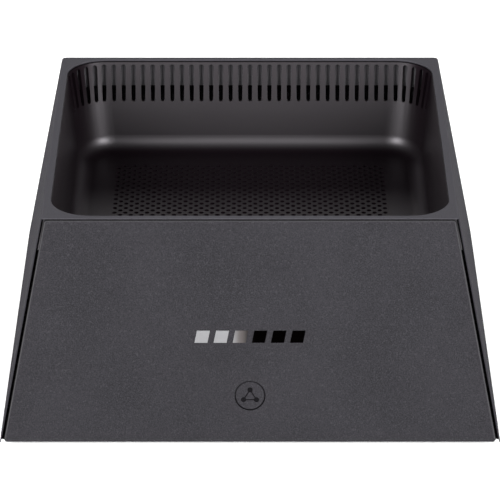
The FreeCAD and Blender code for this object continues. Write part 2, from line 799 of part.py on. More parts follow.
button_up = size("button_rise")
board_face = -size("button_board_back")
panel_additions = [
    panel_cylinder(
        "ButtonCollar", 0, button_up, -size("collar_behind_panel"), -panel_back + weld,
        flange_radius + " + collar_wall",
    ),
]
cut_back = -size("collar_behind_panel") - size("cut_past")
panel_cuts = [
    panel_cylinder("ButtonHole", 0, button_up, cut_back, size("cut_past"), hole_radius),
    panel_cylinder(
        "FlangeRoom", 0, button_up, cut_back, -panel_back, flange_radius + " + head_gap"
    ),
]
board_screw_across = size("board_screw_across")
for side in (-1, 1):
    across = side * board_screw_across
    panel_additions.append(panel_cylinder(
        "BoardPost", across, button_up, board_face, -panel_back + weld, "board_post_diameter/2"
    ))
    panel_cuts.append(panel_cylinder(
        "BoardPilot", across, button_up, board_face - 1, board_face + 6, pilot_radius
    ))
for across, up in panel_screw_spots:
    panel_additions.append(panel_cylinder(
        "PanelBoss", across, up, -size("front_wall") * lean_wall, -panel_back + weld,
        "panel_boss_diameter/2",
    ))
    panel_cuts.append(panel_cylinder("PanelPilot", across, up, -6.0, -1.0, pilot_radius))

# Row of slanted trim segments across the panel, and the pocket that seats them.
segment_count = 6
segment_length = (size("badge_length") - (segment_count - 1) * size("badge_space")) / segment_count
segment_slant = 0.9
badge_up = size("badge_rise")


def trim_segments(low, high):
    half = size("badge_width") / 2
    shapes = []
    for index in range(segment_count):
        start = -size("badge_length") / 2 + index * (segment_length + size("badge_space"))
        stop = start + segment_length
        corners = [
            Vector(start, -half, low), Vector(stop - segment_slant, -half, low),
            Vector(stop, half, low), Vector(start + segment_slant, half, low),
        ]
        face = Part.Face(Part.makePolygon(corners + corners[:1]))
        shapes.append(face.extrude(Vector(0, 0, high - low)))
    return Part.makeCompound(shapes)


badge_pocket = doc.addObject("Part::Feature", "BadgePocket")
badge_pocket.Shape = trim_segments(size("badge_proud") - size("badge_depth"), 1.0)
on_panel(badge_pocket, 0, badge_up, 0)
panel_joined = add_fuse("PanelJoined", [panel_rounded] + panel_additions)
finish(add_cut("FrontPanel", panel_joined, panel_cuts + [badge_pocket]), "front_panel")

badge = doc.addObject("Part::Feature", "TrimBar")
badge.Shape = trim_segments(size("badge_proud") - size("badge_depth"), size("badge_proud"))
on_panel(badge, 0, badge_up, 0)
finish(badge, "trim_bar")


def add_screw(name, length):
    """Pan-head screw: its head's underside is at Z = 0 and the shank points up."""
    return add_turned(name, [
        ("0", "-screw_head_height"), ("screw_head/2 - 0.5", "-screw_head_height"),
        ("screw_head/2", "-screw_head_height + 0.6"), ("screw_head/2", "0"),
        ("screw_diameter/2", "0"), ("screw_diameter/2", "%s - 0.8" % length),
        ("screw_diameter/4", length), ("0", length),
    ])


def copies(name, source, placements):
    """One object that holds the same piece at several places."""
    doc.recompute()
    repeated = doc.addObject("Part::Feature", name)
    solids = []
    for spot in placements:
        solid = source.Shape.copy()
        solid.Placement = spot.multiply(source.Shape.Placement)
        solids.append(solid)
    repeated.Shape = Part.makeCompound(solids)
    return repeated


short_screw = add_screw("ShortScrew", "5")
long_screw = add_screw("LongScrew", "11")
upside_down = Rotation(Vector(1, 0, 0), 180)


def panel_spot(across, up, out):
    return face_frame.multiply(Placement(Vector(across, up, out), Rotation()))


wall_back = -size("front_wall") * lean_wall
finish(copies("PanelScrews", add_screw("PanelScrew", "3.2"), [
    panel_spot(across, up, wall_back) for across, up in panel_screw_spots
]), "panel_screws")
board_back = board_face - size("board_thin")
finish(copies("BoardScrews", short_screw, [
    panel_spot(side * board_screw_across, button_up, board_back) for side in (-1, 1)
]), "button_board_screws")

# ---- mesh button and its switch ----

stem_end = -(size("button_board_back") - size("switch_height") - size("plunger_reach"))
flange_top = "-(panel_thickness*%.8f + flange_gap)" % lean_wall
button = add_turned("MeshButton", [
    ("0", "%.4f" % stem_end), ("button_stem_diameter/2", "%.4f" % stem_end),
    ("button_stem_diameter/2", flange_top + " - flange_thickness"),
    (flange_radius, flange_top + " - flange_thickness"), (flange_radius, flange_top),
    ("button_diameter/2", flange_top), ("button_diameter/2", "-0.3"),
    ("button_diameter/2 - 0.3", "0"), ("0", "0"),
])


def icon_shape(low, high):
    """Three dots joined by lines: the linked-nodes sign."""
    dot = 0.95
    bar = 0.42
    spots = [Vector(0, 2.2, low), Vector(-2.3, -1.5, low), Vector(2.3, -1.5, low)]
    shapes = [Part.makeCylinder(dot, high - low, spot) for spot in spots]
    for first in range(3):
        start = spots[first]
        stop = spots[(first + 1) % 3]
        along = (stop - start).normalize()
        across = Vector(-along.y, along.x, 0) * (bar / 2)
        corners = [start + across, stop + across, stop - across, start - across]
        face = Part.Face(Part.makePolygon(corners + corners[:1]))
        shapes.append(face.extrude(Vector(0, 0, high - low)))
    return shapes[0].multiFuse(shapes[1:]).removeSplitter()


doc.recompute()
icon_pocket = doc.addObject("Part::Feature", "IconPocket")
icon_pocket.Shape = icon_shape(-size("icon_depth"), 1.0)
button_cut = add_cut("ButtonCut", button, [icon_pocket])
doc.recompute()
finish(on_panel(button_cut, 0, button_up, 0), "mesh_button")
icon = doc.addObject("Part::Feature", "ButtonIcon")
icon.Shape = icon_shape(-size("icon_depth"), 0.0)
finish(on_panel(icon, 0, button_up, 0), "button_icon")

button_board = add_padded(
    "ButtonBoard", "XY_Plane", rectangle("-20", "20", "-9", "9"), "board_thin"
)
board_holes = add_circle_outline(button_board, "ButtonBoardHoles", "XY_Plane", [
    ("-board_screw_across", "0", "screw_diameter/2 + part_gap"),
    ("board_screw_across", "0", "screw_diameter/2 + part_gap"),
])
doc.recompute()
board_pocket = button_board.newObject("PartDesign::Pocket", "ButtonBoardPocket")
board_pocket.Profile = board_holes
board_pocket.Type = "ThroughAll"
board_pocket.Reversed = True
button_board.Tip = board_pocket
doc.recompute()
finish(on_panel(button_board, 0, button_up, board_back), "button_board")

switch_face = board_face + size("switch_height")
switch_block = doc.addObject("Part::Box", "ButtonSwitchBlock")
bind(switch_block, Length="switch_side", Width="switch_side", Height="switch_height")
on_panel(switch_block, -size("switch_side") / 2, button_up - size("switch_side") / 2, board_face)
plunger_depth = 1.2
switch_bore = panel_cylinder(
    "ButtonSwitchBore", 0, button_up, switch_face - plunger_depth - size("button_travel") - 0.1,
    switch_face + 1, "plunger_diameter/2 + running_gap",
)
finish(add_cut("ButtonSwitch", switch_block, [switch_bore]), "button_switch")
finish(panel_cylinder(
    "ButtonPlunger", 0, button_up, switch_face - plunger_depth,
    switch_face + size("plunger_reach"), "plunger_diameter/2",
), "button_plunger")

led = doc.addObject("Part::Box", "StatusLed")
led.Length = 2.0
led.Width = 1.2
led.Height = 0.8
finish(on_panel(led, -7.5, button_up + 3.0, board_face), "status_led")


# ---- bottom cover and feet ----

def cover_edges(z):
    return [
        "-(%s - shell_wall - cover_gap)" % side_at(z), "%s - shell_wall - cover_gap" % side_at(z),
        "-(%s - front_wall - cover_gap)" % end_at(z), "%s - shell_wall - cover_gap" % end_at(z),
    ]


cover_plate = add_wedge("CoverPlate", "floor_gap", cover_top, cover_edges)
cover_rounded = add_fillet("CoverRounded", cover_plate, "2", is_upright)
cover_additions = []
cover_cuts = []
head_seat = "(screw_head_height + 0.2)"
standoffs = [
    ("%d*board_screw_x" % side, row)
    for side in (-1, 1)
    for row in ("board_screw_front", "board_screw_rear")
]
for index, (x, y) in enumerate(standoffs):
    cover_additions.append(
        add_post("Standoff%d" % index, x, y, cover_top + " - weld", "board_bottom",
                 "standoff_diameter/2")
    )
    cover_cuts.append(
        add_post("StandoffPilot%d" % index, x, y, cover_top + " + 0.4", "board_bottom + 1",
                 pilot_radius)
    )
for index, (sx, sy) in enumerate(corner_signs):
    x = "%d*boss_x" % sx
    y = "%d*boss_y" % sy
    cover_additions.append(
        add_post("ScrewPad%d" % index, x, y, cover_top + " - weld", pad_top, "boss_diameter/2")
    )
    cover_cuts.append(add_post(
        "HeadRecess%d" % index, x, y, "floor_gap - cut_past", "floor_gap + " + head_seat,
        head_radius + " + head_gap",
    ))
    cover_cuts.append(add_post(
        "CoverHole%d" % index, x, y, "floor_gap", pad_top + " + cut_past",
        "screw_diameter/2 + part_gap",
    ))
    cover_cuts.append(add_post(
        "FootRecess%d" % index, "%d*foot_x" % sx, "%d*foot_y" % sy,
        "floor_gap - cut_past", "floor_gap + foot_recess", "foot_diameter/2 + tray_side_gap",
    ))
vent_count = 11
vent_pitch = 8.0
vent_half = 1.4
vent_rows = ((-48, -22), (-12, 14))
for index in range(vent_count):
    x = (index - (vent_count - 1) / 2) * vent_pitch
    for row, (near, far) in enumerate(vent_rows):
        cover_cuts.append(add_box(
            "Vent%d_%d" % (row, index), x - vent_half, x + vent_half, near, far,
            "floor_gap - cut_past", cover_top + " + cut_past",
        ))
cover_joined = add_fuse("CoverJoined", [cover_rounded] + cover_additions)
finish(add_cut("BottomCover", cover_joined, cover_cuts), "bottom_cover")

foot_names = ["rubber_foot_front_left", "rubber_foot_front_right",
              "rubber_foot_rear_left", "rubber_foot_rear_right"]
for node, (sx, sy) in zip(foot_names, corner_signs):
    foot = add_turned(node.title().replace("_", ""), [
        ("0", "0"), ("foot_diameter/2 - 1.4", "0"), ("foot_diameter/2 - 0.6", "0.4"),
        ("foot_diameter/2", "1.2"), ("foot_diameter/2", "floor_gap + foot_recess"),
        ("0", "floor_gap + foot_recess"),
    ])
    place(foot, "%d*foot_x" % sx, "%d*foot_y" % sy, 0)
    finish(foot, node)

finish(copies("CoverScrews", long_screw, [
    Placement(
        Vector(sx * size("boss_x"), sy * size("boss_y"), size("floor_gap") + amount(head_seat)),
        Rotation(),
    )
    for sx, sy in corner_signs
]), "cover_screws")
finish(copies("TrayScrews", long_screw, [
    Placement(
        Vector(sx * size("ear_x"), sy * size("ear_y"), size("ear_top") - size("ear_thickness")),
        Rotation(),
    )
    for sx, sy in corner_signs
]), "tray_screws")
finish(add_box(
    "RatingLabel", "-label_width/2", "label_width/2", "label_front", "label_front + label_depth",
    "floor_gap - label_thickness", "floor_gap",
), "rating_label")


# ---- main board ----

main_board = add_padded(
    "MainBoard", "XY_Plane",
    rectangle("-board_width/2", "board_width/2", "board_front", "board_rear"), "board_thickness",
)
hole_spots = [(x, y, "screw_diameter/2 + part_gap") for x, y in standoffs]
hole_spots += [
    ("%d*sink_screw_x" % side, "sink_middle", "screw_diameter/2 + part_gap") for side in (-1, 1)
]
main_holes = add_circle_outline(main_board, "MainBoardHoles", "XY_Plane", hole_spots)
doc.recompute()
main_pocket = main_board.newObject("PartDesign::Pocket", "MainBoardPocket")
main_pocket.Profile = main_holes
main_pocket.Type = "ThroughAll"
main_pocket.Reversed = True
main_board.Tip = main_pocket
place(main_board, 0, 0, "board_bottom")
finish(main_board, "main_board")

finish(copies("MainBoardScrews", short_screw, [
    Placement(Vector(amount(x), amount(y), amount(board_top)), upside_down)
    for x, y in standoffs
]), "board_screws")

finish(add_box(
    "Processor", "-chip_side/2", "chip_side/2", "sink_middle - chip_side/2",
    "sink_middle + chip_side/2", board_top, board_top + " + chip_height",
), "processor")
pad_base = "(%s + chip_height)" % board_top
sink_bottom = "(%s + pad_height)" % pad_base
finish(add_box(
    "ThermalPad", "-chip_side/2", "chip_side/2", "sink_middle - chip_side/2",
    "sink_middle + chip_side/2", pad_base, sink_bottom,
), "thermal_pad")

sink_pieces = [add_box(
    "SinkBase", "-sink_width/2", "sink_width/2", "sink_middle - sink_depth/2",
    "sink_middle + sink_depth/2", sink_bottom, sink_bottom + " + sink_base",
)]
fin_count = 15
for index in range(fin_count):
    position = "(-sink_width/2 + %g*(sink_width - fin_thickness))" % (index / (fin_count - 1))
    sink_pieces.append(add_box(
        "Fin%d" % index, position, position + " + fin_thickness",
        "sink_middle - sink_depth/2", "sink_middle + sink_depth/2",
        sink_bottom + " + sink_base - weld", "sink_top",
    ))
sink_pilots = []
for side in (-1, 1):
    tab_ends = ["%d*(sink_width/2 - 2)" % side, "%d*(sink_screw_x + sink_tab_half)" % side]
    inner, outer = sorted(tab_ends, key=amount)
    sink_pieces.append(add_box(
        "SinkTab", inner, outer, "sink_middle - sink_tab_half", "sink_middle + sink_tab_half",
        sink_bottom, sink_bottom + " + sink_base",
    ))
    sink_pieces.append(add_post(
        "SinkLeg", "%d*sink_screw_x" % side, "sink_middle", board_top, sink_bottom + " + weld",
        "board_post_diameter/2",
    ))
    sink_pilots.append(add_post(
        "SinkPilot", "%d*sink_screw_x" % side, "sink_middle", board_top + " - cut_past",
        board_top + " + 4.2", pilot_radius,
    ))
sink_joined = add_fuse("SinkJoined", sink_pieces)
finish(add_cut("HeatSink", sink_joined, sink_pilots), "heat_sink")
finish(copies("SinkScrews", short_screw, [
    Placement(
        Vector(side * size("sink_screw_x"), size("sink_middle"), size("board_bottom")), Rotation()
    )
    for side in (-1, 1)
]), "heat_sink_screws")


def add_can(node, x_low, x_high, y_low, y_high, height):
    """Pressed metal can with an open underside."""
    skin = 0.3
    outside = add_box(
        node.title() + "Outside", x_low, x_high, y_low, y_high,
        board_top, "%s + %g" % (board_top, height),
    )
    inside = add_box(
        node.title() + "Inside", x_low + skin, x_high - skin, y_low + skin, y_high - skin,
        board_top + " - 1", "%s + %g" % (board_top, height - skin),
    )
    return finish(add_cut(node.title(), outside, [inside]), node)


add_can("radio_shield_left", -66.5, -49, -30, 22, 4.0)
add_can("radio_shield_right", 49, 66.5, -30, 22, 4.0)


def add_blocks(node, blocks):
    """Board parts of one kind, each given as centre x, centre y, width, depth and height."""
    pieces = [
        add_box(
            "%s%d" % (node.title().replace("_", ""), index), x - width / 2, x + width / 2,
            y - depth / 2, y + depth / 2, board_top, "%s + %g" % (board_top, height),
        )
        for index, (x, y, width, depth, height) in enumerate(blocks)
    ]
    return finish(add_group(node.title().replace("_", "") + "Group", pieces), node)


add_blocks("memory_chips", [(-24, -8, 13, 9, 1.1), (24, -8, 13, 9, 1.1), (0, -38, 8, 6, 1.1)])
jack_centres = [size("jack_first") + index * size("jack_pitch") for index in range(4)]
add_blocks("line_transformers", [(x, 51.5, 12, 9, 4.2) for x in jack_centres])
add_blocks("power_inductors", [(58, 30, 8, 8, 4.0), (58, 41, 8, 8, 4.0)])
can_spots = [(46, 33), (46, 45), (-58, 33), (-58, 43)]
finish(add_group("Capacitors", [
    add_post("Capacitor%d" % index, x, y, board_top, board_top + " + 11", "4")
    for index, (x, y) in enumerate(can_spots)
]), "capacitors")


# ---- rear ports ----

bezel_outer = add_box(
    "BezelOuter", "-port_window_width/2 + port_fit", "port_window_width/2 - port_fit",
    "port_face - port_plate", "body_depth/2 + 2",
    "port_window_bottom + port_fit", "port_window_top - port_fit",
)
bezel_trimmed = add_common("BezelTrimmed", bezel_outer, body_block)
bezel_flange = add_box(
    "BezelFlange", "-port_window_width/2 - 2.5", "port_window_width/2 + 2.5",
    "port_face - port_plate", "port_face + 2.4", "port_window_bottom - 1.5",
    "port_window_top + 1.0",
)
bezel_room = add_box(
    "BezelRoom", "-port_window_width/2 + port_fit + 1.5", "port_window_width/2 - port_fit - 1.5",
    "port_face", "body_depth/2 + 4",
    "port_window_bottom + port_fit + 1.5", "port_window_top - port_fit - 1.5",
)
reset_guide = add_rod(
    "ResetGuide", "reset_x", "reset_z", "port_face - port_plate - 4.5",
    "port_face - port_plate + 0.5", "4.2",
)
bezel_joined = add_fuse("BezelJoined", [bezel_trimmed, bezel_flange, reset_guide])

jack_front = "(port_face + jack_proud)"
jack_base = board_top
port_holes = [bezel_room]
for index, x in enumerate(jack_centres):
    port_holes.append(add_box(
        "JackHole%d" % index, "%g - jack_width/2 - part_gap" % x, "%g + jack_width/2 + part_gap" % x,
        "port_face - port_plate - 1", "port_face + 1",
        jack_base + " - part_gap", jack_base + " + jack_height + part_gap",
    ))
port_holes.append(add_box(
    "PowerHole", "power_x - power_width/2 - part_gap", "power_x + power_width/2 + part_gap",
    "port_face - port_plate - 1", "port_face + 1",
    jack_base + " - part_gap", jack_base + " + power_height + part_gap",
))
reset_flange_radius = "(reset_diameter/2 + 1.1)"
port_holes.append(add_rod(
    "ResetHole", "reset_x", "reset_z", "port_face - port_plate - 6", "port_face + 1",
    "reset_diameter/2 + 0.2",
))
port_holes.append(add_rod(
    "ResetRoom", "reset_x", "reset_z", "port_face - port_plate - 6", "port_face - port_plate",
    reset_flange_radius + " + head_gap",
))
finish(add_cut("PortBezel", bezel_joined, port_holes), "port_bezel")

# The plug's opening in a jack, with its latch slot below it.
plug_floor = 4.4
latch_width = 6.2
latch_drop = 2.2
jack_nodes = ["wan_jack", "lan_jack_one", "lan_jack_two", "lan_jack_three"]
contacts = []
for node, x in zip(jack_nodes, jack_centres):
    name = node.title().replace("_", "")
    block = add_box(
        name + "Block", "%g - jack_width/2" % x, "%g + jack_width/2" % x,
        jack_front + " - jack_length", jack_front, jack_base, jack_base + " + jack_height",
    )
    socket = add_box(
        name + "Socket", "%g - plug_width/2" % x, "%g + plug_width/2" % x,
        jack_front + " - plug_depth", jack_front + " + 1",
        "%s + %g" % (jack_base, plug_floor), "%s + %g + plug_height" % (jack_base, plug_floor),
    )
    latch = add_box(
        name + "Latch", x - latch_width / 2, x + latch_width / 2,
        jack_front + " - plug_depth + 2", jack_front + " + 1",
        "%s + %g" % (jack_base, plug_floor - latch_drop), "%s + %g" % (jack_base, plug_floor + 1),
    )
    finish(add_cut(name, block, [socket, latch]), node)
    ceiling = amount(jack_base) + plug_floor + size("plug_height")
    back = amount(jack_front) - size("plug_depth")
    for number in range(8):
        across = x + (number - 3.5) * 1.02
        wire = Part.makeBox(0.35, 7.5, 0.3, Vector(across - 0.175, back + 0.1, ceiling - 0.3))
        wire.rotate(Vector(across, back + 0.1, ceiling), Vector(1, 0, 0), -14)
        contacts.append(wire)
jack_contacts = doc.addObject("Part::Feature", "JackContacts")
jack_contacts.Shape = Part.makeCompound(contacts)
finish(jack_contacts, "jack_contacts")

power_mid = jack_base + " + power_height - power_width/2"
power_block = add_box(
    "PowerBlock", "power_x - power_width/2", "power_x + power_width/2",
    jack_front + " - power_length", jack_front, jack_base, jack_base + " + power_height",
)
power_bore = add_rod(
    "PowerBore", "power_x", power_mid, jack_front + " - power_bore_depth",
    jack_front + " + cut_past", "power_bore/2",
)
finish(add_cut("PowerJack", power_block, [power_bore]), "power_jack")
finish(add_rod(
    "PowerPin", "power_x", power_mid, jack_front + " - power_bore_depth",
    jack_front + " - 0.8", "power_pin/2",
), "power_pin")

# Reset button: a rod held behind the port plate by its flange.
reset_tip = "(port_face - port_plate - 8)"
reset_profile = [
    ("0", "-8"), ("reset_diameter/2", "-8"), ("reset_diameter/2", "-1.15"),
    (reset_flange_radius, "-1.15"), (reset_flange_radius, "-0.05"),
    ("reset_diameter/2", "-0.05"), ("reset_diameter/2", "port_plate + 0.2"),
    ("reset_diameter/2 - 0.2", "port_plate + 0.4"), ("0", "port_plate + 0.4"),
]
reset_button = add_turned("ResetButton", reset_profile)
doc.recompute()
place(reset_button, "reset_x", "port_face - port_plate", "reset_z", Rotation(Vector(1, 0, 0), -90))
finish(reset_button, "reset_button")
reset_switch_front = "(%s - 1.0)" % reset_tip
reset_block = add_box(
    "ResetSwitchBlock", "reset_x - 3", "reset_x + 3", reset_switch_front + " - 4",
    reset_switch_front, board_top, "reset_z + 2",
)
reset_bore = add_rod(
    "ResetSwitchBore", "reset_x", "reset_z", reset_switch_front + " - 1 - reset_travel - 0.1",
    reset_switch_front + " + 1", "1 + running_gap",
)
finish(add_cut("ResetSwitch", reset_block, [reset_bore]), "reset_switch")
finish(add_rod(
    "ResetPlunger", "reset_x", "reset_z", reset_switch_front + " - 1", reset_tip, "1"
), "reset_plunger")


# ---- antennas and leads ----

side_lean = math.degrees(
    math.atan2((size("body_width") - size("top_width")) / 2, size("body_height"))
)
aerial_low = size("aerial_bottom")
side_wall_x = amount(side_at("aerial_bottom")) - size("shell_wall")
rear_wall_y = amount(end_at("aerial_bottom")) - size("shell_wall")


def add_aerial(node, turn, x, y):
    """Antenna board flat against a leaning wall; turn is the wall's compass angle."""
    board = doc.addObject("Part::Box", node.title().replace("_", ""))
    bind(board, Length="aerial_length", Width="aerial_thickness", Height="aerial_height")
    tilt = side_lean if abs(turn) == 90 else lean_angle
    face = Rotation(Vector(0, 0, 1), turn).multiply(Rotation(Vector(1, 0, 0), tilt))
    start = Placement(Vector(x, y, aerial_low), face)
    offset = Vector(-size("aerial_length") / 2, -size("aerial_thickness") - 0.05, 0)
    board.Placement = start.multiply(Placement(offset, Rotation()))
    return finish(board, node)


add_aerial("antenna_left", 90, -side_wall_x, 0)
add_aerial("antenna_right", -90, side_wall_x, 0)
add_aerial("antenna_rear_left", 0, -size("rear_aerial_x"), rear_wall_y)
add_aerial("antenna_rear_right", 0, size("rear_aerial_x"), rear_wall_y)

lead_height = amount(board_top) + 0.8
socket_size = 3.0
lead_top = aerial_low - 0.4


def add_lead(node, start, inward):
    """Lead that drops from an antenna and turns level towards its socket."""
    bend = size("lead_bend")
    turn_start = Vector(start.x, start.y, lead_height + bend)
    turn_stop = Vector(start.x, start.y, lead_height) + inward * bend
    centre = turn_start + inward * bend
    middle = centre + (Vector(0, 0, -1) - inward).normalize() * bend
    path = Part.Wire([
        Part.makeLine(start, turn_start),
        Part.Arc(turn_start, middle, turn_stop).toShape(),
        Part.makeLine(turn_stop, turn_stop + inward * 2.0),
    ])
    ring = Part.Wire(Part.makeCircle(size("lead_diameter") / 2, start, Vector(0, 0, 1)))
    lead = doc.addObject("Part::Feature", node.title().replace("_", ""))
    lead.Shape = path.makePipeShell([ring], True, False)
    return finish(lead, node), turn_stop + inward * 2.0


sockets = []
lead_inset = size("lead_inset")
lead_list = [
    ("lead_left", Vector(-side_wall_x + lead_inset, 0, lead_top), Vector(1, 0, 0)),
    ("lead_right", Vector(side_wall_x - lead_inset, 0, lead_top), Vector(-1, 0, 0)),
    ("lead_rear_left", Vector(-64, rear_wall_y - lead_inset, lead_top), Vector(0, -1, 0)),
    ("lead_rear_right", Vector(64, rear_wall_y - lead_inset, lead_top), Vector(0, -1, 0)),
]
for node, start, inward in lead_list:
    _, end = add_lead(node, start, inward)
    middle = end + inward * (socket_size / 2)
    sockets.append(add_box(
        "LeadSocket_" + node, middle.x - socket_size / 2, middle.x + socket_size / 2,
        middle.y - socket_size / 2, middle.y + socket_size / 2, board_top, board_top + " + 1.5",
    ))
finish(add_group("LeadSockets", sockets), "antenna_sockets")

# Flat ribbon from the button board to the main board, and the socket at each end.
board_end = panel_spot(0, button_up - 5.0, board_back - 1.0).Base
ribbon_stop = Vector(0, size("board_front") + 2.0, amount(board_top) + 0.7)
ribbon_start = Vector(0, board_end.y + 0.6, board_end.z)
span = ribbon_stop - ribbon_start
crest = ribbon_start + span * 0.5 + Vector(0, 0, 4.0)
lower_arc = Part.Arc(ribbon_start, crest, ribbon_stop).toShape()
ribbon = doc.addObject("Part::Feature", "Ribbon")
ribbon_face = Part.makeRuledSurface(lower_arc, Part.Arc(
    ribbon_start + Vector(0, 0, 0.3), crest + Vector(0, 0, 0.3), ribbon_stop + Vector(0, 0, 0.3)
).toShape())
ribbon.Shape = ribbon_face.Faces[0].extrude(Vector(8, 0, 0))
ribbon.Placement = Placement(Vector(-4, 0, 0), Rotation())
finish(ribbon, "button_ribbon")
socket_front = doc.addObject("Part::Box", "RibbonSocketFront")
socket_front.Length = 10
socket_front.Width = 3.0
socket_front.Height = 1.4
on_panel(socket_front, -5, button_up - 6.5, board_back - 1.4)
socket_rear = add_box(
    "RibbonSocketRear", -5, 5, "board_front + 2", "board_front + 5", board_top, board_top + " + 1.6"
)
finish(add_group("RibbonSockets", [socket_front, socket_rear]), "ribbon_sockets")


# ---- check and write ----

doc.recompute()
for item in doc.Objects:
    if "Invalid" in item.State or "Error" in item.State:
        raise RuntimeError("%s did not build: %s" % (item.Name, item.State))
for item in finished_parts:
    if item.Shape.isNull() or not item.Shape.isValid() or not item.Shape.Solids:
        raise RuntimeError("%s has no sound shape" % item.Label)
os.makedirs("parts", exist_ok=True)
for item in finished_parts:
    item.Shape.exportStep("parts/%s.step" % item.Label)
    box = item.Shape.BoundBox
    print("%-26s solids %3d  volume %10.1f  z %6.2f to %6.2f" % (
        item.Label, len(item.Shape.Solids), item.Shape.Volume, box.ZMin, box.ZMax
    ))
print("%d parts written" % len(finished_parts))
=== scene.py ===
import math

import bpy
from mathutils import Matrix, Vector


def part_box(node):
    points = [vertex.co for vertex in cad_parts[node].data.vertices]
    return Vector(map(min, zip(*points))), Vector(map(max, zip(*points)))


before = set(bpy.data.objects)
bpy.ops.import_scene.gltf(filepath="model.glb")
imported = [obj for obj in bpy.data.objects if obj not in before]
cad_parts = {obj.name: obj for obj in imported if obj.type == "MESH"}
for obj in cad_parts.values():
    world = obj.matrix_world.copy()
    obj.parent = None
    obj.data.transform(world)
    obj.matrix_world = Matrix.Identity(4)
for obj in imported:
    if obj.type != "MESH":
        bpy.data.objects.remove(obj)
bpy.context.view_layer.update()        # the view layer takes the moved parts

mm = 0.001
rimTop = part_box("outer_shell")[1].z
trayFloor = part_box("floor_grille")[1].z


class Signal:
    # one value on its way through a node tree; arithmetic on it adds Math nodes
    def __init__(self, graph, socket):
        self.graph = graph
        self.socket = socket

    def work(self, operation, first, second):
        return self.graph.value("ShaderNodeMath", {"operation": operation}, {0: first, 1: second})

    def __add__(self, other):
        return self.work("ADD", self, other)

    def __radd__(self, other):
        return self.work("ADD", other, self)

    def __sub__(self, other):
        return self.work("SUBTRACT", self, other)

    def __rsub__(self, other):
        return self.work("SUBTRACT", other, self)

    def __mul__(self, other):
        return self.work("MULTIPLY", self, other)

    def __rmul__(self, other):
        return self.work("MULTIPLY", other, self)

    def __abs__(self):
        return self.work("ABSOLUTE", self, 0.0)

    def over(self, low, high):
        # 0 at low, 1 at high and beyond, eased between them
        return self.graph.ease(self, (low, high), (0.0, 1.0))


class Graph:
    # a node tree being filled in, a material's or the world's
    def __init__(self, tree):
        self.nodes = tree.nodes
        self.links = tree.links

    def node(self, kind, settings, inputs):
        # every added node comes from here: settings first, then values or links of its sockets
        node = self.nodes.new(kind)
        for name, value in settings.items():
            setattr(node, name, value)
        for name, value in inputs.items():
            self.feed(node.inputs[name], value)
        return node

    def feed(self, socket, value):
        if isinstance(value, Signal):
            value = value.socket
        if isinstance(value, bpy.types.NodeSocket):
            self.links.new(value, socket)
        else:
            socket.default_value = value

    def value(self, kind, settings, inputs):
        return Signal(self, self.node(kind, settings, inputs).outputs[0])

    def ease(self, signal, source, target):
        return self.value("ShaderNodeMapRange", {"interpolation_type": "SMOOTHSTEP"}, {
            0: signal, 1: source[0], 2: source[1], 3: target[0], 4: target[1]})

    def part(self, vector, letter):
        split = self.node("ShaderNodeSeparateXYZ", {}, {0: vector})
        return Signal(self, split.outputs[letter])


class Finish(Graph):
    # one procedural material, built round its Principled shader
    def __init__(self, name, **shaderValues):
        self.material = bpy.data.materials.new(name)
        self.material.use_nodes = True
        super().__init__(self.material.node_tree)
        self.shader = self.nodes["Principled BSDF"]
        self.place = self.node("ShaderNodeTexCoord", {}, {}).outputs["Object"]
        self.set(**shaderValues)

    def set(self, **values):
        for name, value in values.items():
            self.feed(self.shader.inputs[name.replace("_", " ")], value)

    def noise(self, size, detail=2.0, roughness=0.5, stretch=(1, 1, 1)):
        # blotches about size metres across, 0 to 1
        where = self.node("ShaderNodeMapping", {}, {"Vector": self.place, "Scale": stretch})
        return self.value("ShaderNodeTexNoise", {}, {
            "Vector": where.outputs[0], "Scale": 1.0 / size, "Detail": detail,
            "Roughness": roughness})

    def cells(self, size):
        return self.value("ShaderNodeTexVoronoi", {}, {"Vector": self.place, "Scale": 1.0 / size})

    def bands(self, scale):
        return self.value("ShaderNodeTexWave", {"wave_type": "BANDS", "bands_direction": "Y"}, {
            "Vector": self.place, "Scale": scale, "Distortion": 0.0})

    def axis(self, letter):
        return self.part(self.place, letter)

    def mix(self, amount, first, second):
        blend = self.node("ShaderNodeMix", {"data_type": "RGBA"}, {0: amount, 6: first, 7: second})
        return blend.outputs[2]

    def bump(self, height, depth):
        relief = self.node("ShaderNodeBump", {}, {
            "Height": height, "Distance": depth, "Strength": 1.0})
        self.feed(self.shader.inputs["Normal"], relief.outputs[0])

    def colour(self, value):
        self.feed(self.shader.inputs["Base Color"], value)


def rgb(red, green, blue):
    return (red, green, blue, 1.0)


def tone(colour, factor):
    # the same colour, paler or darker
    return rgb(*[min(1.0, channel * factor) for channel in colour[:3]])


def dress(nodeNames, material):
    # the named solids take one material in every slot
    for name in nodeNames:
        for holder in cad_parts[name].material_slots:
            holder.material = material


def sideLine(nodeName, axis):
    # half width of a leaning side at the rim's level, and its growth for each metre down
    points = [vertex.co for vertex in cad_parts[nodeName].data.vertices]
    top = max(point.z for point in points)
    nearTop = [point for point in points if point.z > top - 2 * mm]
    upper = max(nearTop, key=lambda point: abs(point[axis]))
    lower = max(points, key=lambda point: abs(point[axis]))
    spread = (abs(lower[axis]) - abs(upper[axis])) / (upper.z - lower.z)
    return abs(upper[axis]) - (rimTop - upper.z) * spread, spread


